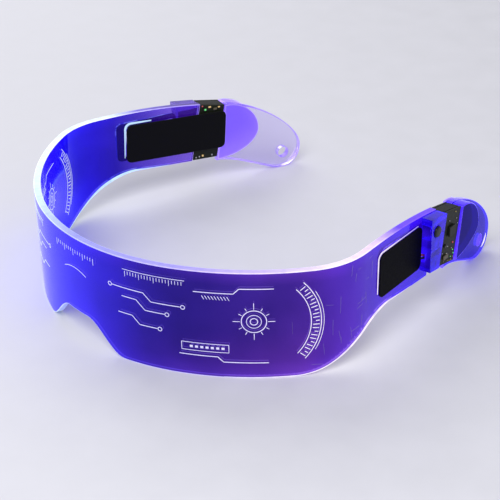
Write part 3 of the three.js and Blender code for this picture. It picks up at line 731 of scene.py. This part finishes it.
def cover_outline():
    """Outline of the end cover, whose front edge gives way to the pad's rear end."""
    curve = end_curve(bottom_at(TIP_START) - END_COVER_BELOW_BOTTOM)
    (_, low), (_, high) = curve[0], curve[-1]
    corner = PAD_CORNER + CLEARANCE
    half_length, half_height = PAD_LENGTH / 2 + CLEARANCE, pad_height() / 2 + CLEARANCE
    cos, sin = math.cos(PAD_SLOPE), math.sin(PAD_SLOPE)
    front = []
    steps = 80
    for step in range(1, steps):
        up = high + (low - high) * step / steps
        along = leaning(TIP_START, up)
        across = (up - middle_at(PAD_ALONG)) * cos + (along - PAD_ALONG) * sin
        if abs(across) < half_height:
            round_part = max(abs(across) - (half_height - corner), 0.0)
            rear = half_length - corner + math.sqrt(corner ** 2 - round_part ** 2)
            along = max(along, sloped(PAD_ALONG, PAD_SLOPE, [(rear, across)])[0][0])
        front.append((along, up))
    return resampled(curve + front, END_STEP)


def place_piece(piece, node):
    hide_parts(node)
    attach(piece, "frame")


def make_temple_ends(name, side):
    hole = circle((TIP_START + TIP_REACH - TIP_HOLE_FROM_NOSE, TIP_HOLE_UP), TIP_HOLE_RADIUS)
    tip = finish_piece(f"{name}_ear_tip_clear",
                       plate(tip_outline(), [hole], (-THICKNESS, 0.0), PLATE_BEVEL),
                       (tip_faces[name], tip_edges[name], tip_edges[name]), side, place=toed_place)
    place_piece(tip, f"{name}_ear_tip")
    block_outline = resampled(end_curve(outer_bottom_at(TIP_START)), END_STEP)
    block = finish_piece(f"{name}_end_block_clear",
                         plate(block_outline, [], (CLEARANCE, BLOCK_OUT), BLOCK_BEVEL),
                         (end_faces[name], block_edges[name], block_edges[name]), side, place=toed_place)
    place_piece(block, f"{name}_end_block")
    cover_outer = -THICKNESS - CLEARANCE
    cover_outs = (cover_outer - END_COVER_THICKNESS, cover_outer)
    cover = finish_piece(f"{name}_end_cover_frosted", plate(cover_outline(), [], cover_outs, COVER_BEVEL),
                         (frosted, frosted_edge, frosted_edge), side, place=toed_place)
    place_piece(cover, f"{name}_end_cover")


# Soft pads, cut evenly both ways so that they can swell a little towards their middle
PAD_CUTS_ALONG, PAD_CUTS_UP = 38, 14


def even_cuts(extent, count):
    return [extent * cut / count for cut in range(1 - count // 2, count // 2)]


def make_pad(name, side):
    height = pad_height()
    outline = resampled(rounded_rectangle(PAD_LENGTH, height, PAD_CORNER, steps=8), PAD_STEP)
    outer = -THICKNESS - CLEARANCE
    mesh = plate(outline, [], (outer - PAD_THICKNESS, outer), PAD_BEVEL, bevel_steps=4)
    cut_across(mesh, X_AXIS, even_cuts(PAD_LENGTH, PAD_CUTS_ALONG))
    cut_across(mesh, Z_AXIS, even_cuts(height, PAD_CUTS_UP))
    for vert in mesh.verts:
        by_height, by_length = 2 * vert.co.z / height, 2 * vert.co.x / PAD_LENGTH
        swell = max(0.0, 1 - by_height ** 4) * max(0.0, 1 - by_length ** 8)
        if vert.co.y < outer - PAD_THICKNESS / 2:
            vert.co.y += PAD_CROWN * (1 - swell)
        (along, up), = sloped(PAD_ALONG, PAD_SLOPE, [(vert.co.x, vert.co.z)])
        vert.co = (along, vert.co.y, up)
    pad = finish_piece(f"{name}_foam_pad", mesh, (foam, foam, foam), side)
    place_piece(pad, f"{name}_temple_pad")


# Etched lines of the visor: rulers, a target of rings, an arc scale and traces. They stand on its
# outer face, and dimmer ones on its inner face show the same lines from behind.
ETCH_WIDTH = 0.28
ETCH_OUTS = (-0.05, 0.05)
LONGEST_STRAIGHT = 1.5


def ribbon(mesh, points, width=ETCH_WIDTH, closed=False):
    raised_line(mesh, [(along, up, width) for along, up in points], ETCH_OUTS, closed)


def line(mesh, start, end, width=ETCH_WIDTH):
    across, rise = end[0] - start[0], end[1] - start[1]
    steps = max(1, math.ceil(abs(across) / LONGEST_STRAIGHT))
    points = [(start[0] + across * k / steps, start[1] + rise * k / steps) for k in range(steps + 1)]
    ribbon(mesh, points, width)


def path(mesh, points, width=ETCH_WIDTH):
    for start, end in zip(points, points[1:]):
        line(mesh, start, end, width)


def arc(mesh, centre, radius, start, end, width=ETCH_WIDTH):
    steps = max(6, math.ceil(abs(end - start) / 5))
    angles = [math.radians(start + (end - start) * k / steps) for k in range(steps + 1)]
    ribbon(mesh, [polar(centre, radius, angle) for angle in angles], width)


def etch_lens(mesh):
    """Lines of the left lens, with places given as along and up."""
    target = (73.0, 23.5)
    for radius, width in ((1.3, 0.3), (2.6, 0.22), (4.4, 0.3)):
        ribbon(mesh, circle(target, radius, 36), width, closed=True)
    for turn in range(12):
        angle = math.radians(30 * turn)
        outer = 6.1 if turn % 3 else 7.4
        line(mesh, polar(target, 4.9, angle), polar(target, outer, angle), 0.22)
    scale = (74.0, 22.5)
    for radius in (19.0, 22.6):
        arc(mesh, scale, radius, -42, 44)
    arc(mesh, scale, 23.6, -30, 30, 0.18)
    for turn in range(-40, 43, 4):
        angle = math.radians(turn)
        inner = 19.7 if turn % 12 else 20.6
        line(mesh, polar(scale, inner, angle), polar(scale, 22.0, angle), 0.3)
    for place in range(20):
        along = 26 + place * 1.15
        line(mesh, (along, 37.6), (along, 35.4 if place % 5 == 0 else 36.2), 0.2)
    line(mesh, (25, 38.2), (49, 38.2), 0.22)
    path(mesh, [(20, 30.5), (33, 30.5), (36, 27.5), (47, 27.5)], 0.3)
    path(mesh, [(24, 27), (30, 27), (33.5, 23.5), (41, 23.5)], 0.3)
    path(mesh, [(22, 20), (28, 20), (31, 17), (38, 17)], 0.3)
    for centre in ((48, 27.5), (42, 23.5), (39, 17), (19, 30.5)):
        ribbon(mesh, circle(centre, 0.75, 16), closed=True)
    path(mesh, [(52, 34.5), (66, 34.5), (68, 36.5), (80, 36.5)], 0.3)
    for place in range(9):
        along = 55 + place * 1.1
        line(mesh, (along, 33.2), (along + 0.8, 31.8), 0.22)
    path(mesh, [(46, 8.5), (60, 8.5), (62, 6.5), (78, 6.5)], 0.32)
    for place in range(7):
        line(mesh, (50 + place * 1.9, 12.0), (51.1 + place * 1.9, 12.0), 0.9)
    path(mesh, [(47, 13.6), (64, 13.6), (64, 10.4), (47, 10.4), (47, 13.6)], 0.22)


def make_etching():
    mesh = bmesh.new()
    etch_lens(mesh)
    mirrored = mesh.copy()
    for vert in mirrored.verts:
        vert.co.x = -vert.co.x
    join(mesh, mirrored)
    for place in range(-8, 9):
        along = place * 1.4
        line(mesh, (along, 37.6), (along, 35.0 if place % 4 == 0 else 36.2), 0.2)
    arc(mesh, (0.0, 16.0), 14.0, 62, 118, 0.25)
    inner = mesh.copy()
    for vert in inner.verts:
        vert.co.y -= THICKNESS
    pieces = (finish_piece("visor_etched_lines", mesh, (etch_light,), weighted=False),
              finish_piece("visor_inner_lines", inner, (inner_light,), weighted=False))
    for piece in pieces:
        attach(piece, "frame")


# Fine scratches on the outer face, most of them in front of the battery covers
SCRATCH_COUNT = 26
SCRATCH_WIDTH = 0.035
SCRATCH_START, SCRATCH_END, SCRATCH_CROWD = 84.0, 124.0, 117.0


def make_scratches():
    chance = random.Random(7)
    mesh = bmesh.new()
    for side in SIDES.values():
        for _ in range(SCRATCH_COUNT):
            along = chance.triangular(SCRATCH_START, SCRATCH_END, SCRATCH_CROWD)
            low, high = bottom_at(along) + 1.5, top_at(along) - 2.0
            up = low + (high - low) * chance.random()
            turn = chance.choice((0.0, math.pi / 2, math.pi / 2)) + chance.gauss(0.0, 0.15)
            length = chance.uniform(1.5, 7.0)
            end_up = min(max(up + length * math.sin(turn), low), high)
            end_along = min(along + length * math.cos(turn), SCRATCH_END)
            line(mesh, (side * along, up), (side * end_along, end_up), SCRATCH_WIDTH)
    piece = finish_piece("visor_fine_scratches", mesh, (scratch_light,), weighted=False)
    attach(piece, "frame")


# Light that comes out of the plates along the cover, the pad and the foot of the visor, and a painted
# highlight along the ear tip's lower rear edge
LINE_OUT, THIN_LINE_OUT, LINE_CORNER = 0.12, 0.1, 2.6
COVER_LINE_GAP, COVER_LINE_LOW, COVER_LINE_REAR, COVER_LINE_WIDTHS = 0.25, 7.0, 11.0, (0.4, 0.8, 0.2)
PAD_LINE_FRONT_GAP, PAD_LINE_TOP_GAP, PAD_LINE_WIDTHS = 0.3, 0.5, (0.25, 1.1, 0.5)
PAD_LINE_LOW, PAD_LINE_REAR = 2.0, 12.0
FOOT_LINE_START, FOOT_LINE_LENGTH, FOOT_LINE_STEPS, FOOT_LINE_FADES = 62.0, 86.0, 48, (12, 8)
FOOT_SWELL_ALONG, FOOT_SWELL_SPREAD, FOOT_SWELL_WIDTH = 120.0, 14.0, 0.95
FOOT_LINE_UP, FOOT_LINE_END_WIDTH, FOOT_LINE_WIDTH = 0.3, 0.08, 0.14
# The ear tip's line is a painted highlight on its lower rear edge, not light from the plate
TIP_LINE_PART, TIP_LINE_TOWARDS, TIP_LINE_END_WIDTH = slice(6, 21), 9.0, 0.06
TIP_HIGHLIGHT_LINES = {"left": (2.4, 1.3), "right": (0.7, 0.6)}


def light_line(name, label, side, points, outs, place=strip_place):
    """Tapering line of light through points given as along, up and width; along the ear tip it is a painted
    highlight.
    """
    mesh = bmesh.new()
    raised_line(mesh, points, outs)
    piece = finish_piece(f"{name}_{label}", mesh, (line_glow_and_highlight,), side, place=place)
    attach(piece, "frame")


def corner_line(centre_along, slope, alongs, ups, widths):
    """Line up a front edge, round its top corner and back along the top, as along, up and width."""
    (front, rear), (low, high) = alongs, ups
    straight_steps, corner_steps = 8, 6
    bend, bend_up = front + LINE_CORNER, high - LINE_CORNER
    outline = [(front, low + (bend_up - low) * k / straight_steps) for k in range(straight_steps)]
    outline += [polar((bend, bend_up), LINE_CORNER, math.pi - math.pi / 2 * k / corner_steps)
                for k in range(corner_steps + 1)]
    outline += [(bend + (rear - bend) * k / straight_steps, high) for k in range(1, straight_steps + 1)]
    start, middle, end = widths
    points = []
    for at, (along, up) in enumerate(sloped(centre_along, slope, outline)):
        share = 2 * at / (len(outline) - 1)
        width = start + (middle - start) * share if share < 1 else middle + (end - middle) * (share - 1)
        points.append((along, up, width))
    return points


def foot_line():
    """Line just above the visor's lower edge, widest where the lens turns up to the temple."""
    points = []
    for step in range(FOOT_LINE_STEPS + 1):
        along = FOOT_LINE_START + FOOT_LINE_LENGTH * step / FOOT_LINE_STEPS
        swell = math.exp(-((along - FOOT_SWELL_ALONG) / FOOT_SWELL_SPREAD) ** 2)
        fade = min(1.0, step / FOOT_LINE_FADES[0], (FOOT_LINE_STEPS - step) / FOOT_LINE_FADES[1])
        width = FOOT_LINE_END_WIDTH + (FOOT_LINE_WIDTH + FOOT_SWELL_WIDTH * swell) * fade
        points.append((along, bottom_at(along) + FOOT_LINE_UP + width / 2, width))
    return points


def tip_highlight_line(depth, swell):
    """Painted highlight at a depth inside the ear tip's lower rear edge, wider in its middle by the swell.
    """
    edge = tip_heel()[TIP_LINE_PART]
    middle = (TIP_START + TIP_REACH - TIP_LINE_TOWARDS, TIP_NOSE_UP)
    points = []
    for at, (along, up) in enumerate(edge):
        share = depth / math.dist((along, up), middle)
        width = TIP_LINE_END_WIDTH + swell * math.sin(math.pi * at / (len(edge) - 1))
        points.append((along + (middle[0] - along) * share, up + (middle[1] - up) * share, width))
    return points


def make_light_lines(name, side):
    cover_front = -WINDOW_LENGTH / 2 - COVER_BEFORE_WINDOW - COVER_LINE_GAP
    cover_ups = (COVER_RAISE - COVER_LINE_LOW, COVER_RAISE + COVER_HEIGHT / 2 + COVER_LINE_GAP)
    cover_line = corner_line(BATTERY_ALONG, BATTERY_SLOPE, (cover_front, COVER_LINE_REAR), cover_ups,
                             COVER_LINE_WIDTHS)
    light_line(name, "cover_light_line", side, cover_line, (0.0, LINE_OUT))
    pad_front, half_height = -PAD_LENGTH / 2, pad_height() / 2
    pad_alongs = (pad_front - PAD_LINE_FRONT_GAP, pad_front + PAD_LINE_REAR)
    pad_ups = (PAD_LINE_LOW - half_height, half_height + PAD_LINE_TOP_GAP)
    pad_line = corner_line(PAD_ALONG, PAD_SLOPE, pad_alongs, pad_ups, PAD_LINE_WIDTHS)
    light_line(name, "pad_light_line", side, pad_line, (-THICKNESS - LINE_OUT, -THICKNESS))
    light_line(name, "foot_light_line", side, foot_line(), (0.0, THIN_LINE_OUT))
    light_line(name, "inner_foot_light_line", side, foot_line(), (-THICKNESS - THIN_LINE_OUT, -THICKNESS))
    # Painted highlight along the ear tip's lower rear edge
    light_line(name, "tip_painted_highlight_line", side, tip_highlight_line(*TIP_HIGHLIGHT_LINES[name]), (0.0, THIN_LINE_OUT),
               place=toed_place)


# Small parts on the boards, beyond those of the solids; the red, green and amber ones glow, as painted
# glints
def brick(mesh, along, up, outs, bevel=0.08):
    """Small box with softened edges, added to a mesh in strip space."""
    length, height = along[1] - along[0], up[1] - up[0]
    x, z = (along[0] + along[1]) / 2, (up[0] + up[1]) / 2
    corner = min(length, height) * 0.2
    outline = [(x + px, z + pz) for px, pz in rounded_rectangle(length, height, corner, steps=2)]
    join(mesh, plate(outline, [], outs, min(bevel, (outs[1] - outs[0]) / 3), bevel_steps=2))


def board_detail(name, side, label, items, outs, material):
    """Bricks on a board, given as place from its front, share of its height, length and height."""
    mesh = bmesh.new()
    low_edge_at = outer_bottom_at if outs[0] > 0 else board_bottom_at
    for from_start, share, length, height in items:
        place = STACK_START + from_start
        up = low_edge_at(place) + (board_top_at(place) - low_edge_at(place)) * share
        along = leaning(STACK_START, up) + from_start
        brick(mesh, (along - length / 2, along + length / 2), (up - height / 2, up + height / 2), outs)
    piece = finish_piece(f"{name}_{label}", mesh, (material, material, material), side)
    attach(piece, "frame")


def make_board_details(name, side):
    outer = (MAIN_FACE + 0.02, MAIN_FACE + 0.3)
    inner = (LAMP_FACE - 0.3, LAMP_FACE - 0.02)
    inner_high = (LAMP_FACE - 0.5, LAMP_FACE - 0.02)
    inner_top = (LAMP_FACE - 0.78, LAMP_FACE - 0.66)
    details = {
        "gold_joints": ([(7.9, 0.93, 0.5, 0.4), (5.3, 0.12, 0.5, 0.5), (6.9, 0.06, 0.4, 0.3),
                         (8.2, 0.05, 0.4, 0.3), (9.6, 0.05, 0.4, 0.4), (10.6, 0.10, 0.4, 0.4),
                         (3.6, 0.07, 0.3, 0.3)], outer, gold),
        "tin_joints": ([(5.2, 0.33, 0.4, 0.4), (3.8, 0.80, 0.35, 0.35), (5.4, 0.20, 0.4, 0.4),
                        (8.6, 0.27, 0.35, 0.35), (10.7, 0.70, 0.35, 0.3), (1.6, 0.24, 0.35, 0.35),
                        (9.4, 0.80, 0.35, 0.3)], outer, tinned),
        # These red, green and amber bricks glow: painted glints on board parts that are no lamps
        "red_painted_glints": ([(9.1, 0.37, 0.55, 0.6)], outer, red_glint),
        "green_painted_glints": ([(9.9, 0.23, 0.4, 0.45), (10.8, 0.16, 0.4, 0.45), (9.0, 0.11, 0.35, 0.35)],
                         outer, green_glint),
        "inner_green_painted_glint": ([(2.3, 0.91, 0.9, 0.8)], inner_top, green_glint),
        "inner_amber_painted_glints": ([(4.6, 0.95, 1.2, 0.6), (9.3, 0.95, 0.9, 0.5), (4.4, 0.07, 0.8, 0.8)],
                              inner_high, amber_glint),
        "inner_red_painted_glint": ([(0.9, 0.965, 0.6, 0.5)], inner, red_glint),
        "inner_joints": ([(1.2, 0.05, 0.6, 0.6), (2.8, 0.06, 0.6, 0.6), (9.2, 0.06, 0.6, 0.6)],
                         inner, tinned),
    }
    for label, (items, outs, material) in details.items():
        board_detail(name, side, label, items, outs, material)


# Looks of the solids that stay
WELD_DISTANCE = 0.005 * MM


def dress(node, material, width):
    """Gives a solid its material and, where a width is given, rounded edges."""
    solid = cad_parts[node]
    solid.data.materials.clear()
    solid.data.materials.append(material)
    solid.modifiers.new("weld", "WELD").merge_threshold = WELD_DISTANCE
    if width:
        bevel = solid.modifiers.new("soft_edges", "BEVEL")
        bevel.width = width * MM
        bevel.segments = 2
        bevel.limit_method = "ANGLE"
        bevel.angle_limit = math.radians(40)
        solid.modifiers.new("even_normals", "WEIGHTED_NORMAL")


def dress_temple(name):
    looks = (
        (moulded_black, 0.12, ("battery_tray", "switch_body", "light_guard")),
        (cell_steel, 0.12, ("front_cell", "rear_cell")),
        (tinned, 0.04, ("cell_link",)),
        (tinned, 0.05, ("positive_tab", "negative_tab")),
        (satin_black, 0.18, ("battery_cover",)),
        (red_cover, 0.0, ("red_lead",)),
        (moulded_black, 0.0, ("black_lead",)),
        (blocks[name], 0.25, ("front_block",)),
        (button_black, 0.12, ("button_cap",)),
        (board_black, 0.08, ("switch_board", "main_board", "lamp_board")),
        (lamp_white, 0.1, ("lower_lamp", "middle_lamp", "upper_lamp", "tip_lamp")),
        (chip_black, 0.12, ("driver_chip",)),
        (resistor_black, 0.08, ("main_resistor", "lamp_resistor")),
        (ceramic, 0.1, ("main_capacitor", "lamp_capacitor")),
    )
    for material, width, labels in looks:
        for label in labels:
            dress(f"{name}_{label}", material, width)


make_visor()
make_etching()
make_scratches()
for side_name, side_sign in SIDES.items():
    make_temple_ends(side_name, side_sign)
    make_pad(side_name, side_sign)
    make_light_lines(side_name, side_sign)
    make_board_details(side_name, side_sign)
    dress_temple(side_name)


# Floor, light and camera; the camera is the one solved from the photo, in millimetres and pixels
FLOOR_RADIUS = 3.0
CAMERA_AZIMUTH, CAMERA_ELEVATION, CAMERA_ROLL = 49.41, 29.29, -1.23
CAMERA_TARGET = (31.52, 57.02 - FRONT_TO_ORIGIN, 25.0)
CAMERA_DISTANCE = 511.02
PICTURE_SIZE, FOCAL_LENGTH, CENTRE_X, CENTRE_Y = 500.0, 1375.05, 250.62, 257.60


def make_floor():
    mesh = bmesh.new()
    ring = [mesh.verts.new((x, y, 0.0)) for x, y in circle((0.0, 0.0), FLOOR_RADIUS, 64)]
    mesh.faces.new(ring)
    data = bpy.data.meshes.new("floor")
    mesh.to_mesh(data)
    mesh.free()
    data.materials.append(textured("floor_paper", (0.60, 0.60, 0.64), 0.75, 60.0, 0.0, spread=0.02))
    floor = bpy.data.objects.new("floor", data)
    bpy.context.scene.collection.objects.link(floor)


def make_world():
    world = bpy.data.worlds.new("studio")
    bpy.context.scene.world = world
    world.use_nodes = True
    sky = world.node_tree.nodes["Background"]
    sky.inputs["Color"].default_value = (0.62, 0.62, 0.66, 1.0)
    sky.inputs["Strength"].default_value = 0.8


def area_light(name, place, target, size, power):
    """Round soft light that faces a target, with its places and size in metres."""
    light = bpy.data.lights.new(name, "AREA")
    light.shape = "DISK"
    light.size = size
    light.energy = power
    holder = bpy.data.objects.new(name, light)
    holder.location = place
    holder.rotation_euler = (Vector(target) - Vector(place)).to_track_quat("-Z", "Y").to_euler()
    bpy.context.scene.collection.objects.link(holder)


def make_camera():
    azimuth, elevation, roll = map(math.radians, (CAMERA_AZIMUTH, CAMERA_ELEVATION, CAMERA_ROLL))
    back = Vector((math.sin(azimuth) * math.cos(elevation), -math.cos(azimuth) * math.cos(elevation),
                   math.sin(elevation)))
    right = Vector((math.cos(azimuth), math.sin(azimuth), 0.0))
    up = back.cross(right)
    turned_right = right * math.cos(roll) + up * math.sin(roll)
    turned_up = up * math.cos(roll) - right * math.sin(roll)
    data = bpy.data.cameras.new("camera")
    data.sensor_width = 36.0
    data.lens = FOCAL_LENGTH * data.sensor_width / PICTURE_SIZE
    data.shift_x = (PICTURE_SIZE / 2 - CENTRE_X) / PICTURE_SIZE
    data.shift_y = (CENTRE_Y - PICTURE_SIZE / 2) / PICTURE_SIZE
    data.clip_start, data.clip_end = 0.01, 20.0
    camera = bpy.data.objects.new("camera", data)
    rotation = Matrix((turned_right, turned_up, back)).transposed().to_4x4()
    place = (Vector(CAMERA_TARGET) + back * CAMERA_DISTANCE) * MM
    camera.matrix_world = Matrix.Translation(place) @ rotation
    bpy.context.scene.collection.objects.link(camera)
    bpy.context.scene.camera = camera


make_floor()
make_world()
area_light("key", (0.35, -0.55, 0.75), (0, 0, 0), 0.6, 7.0)
area_light("fill", (-0.7, 0.2, 0.6), (0, 0, 0.02), 0.8, 4.0)
make_camera()
bpy.context.scene.view_settings.view_transform = "Standard"
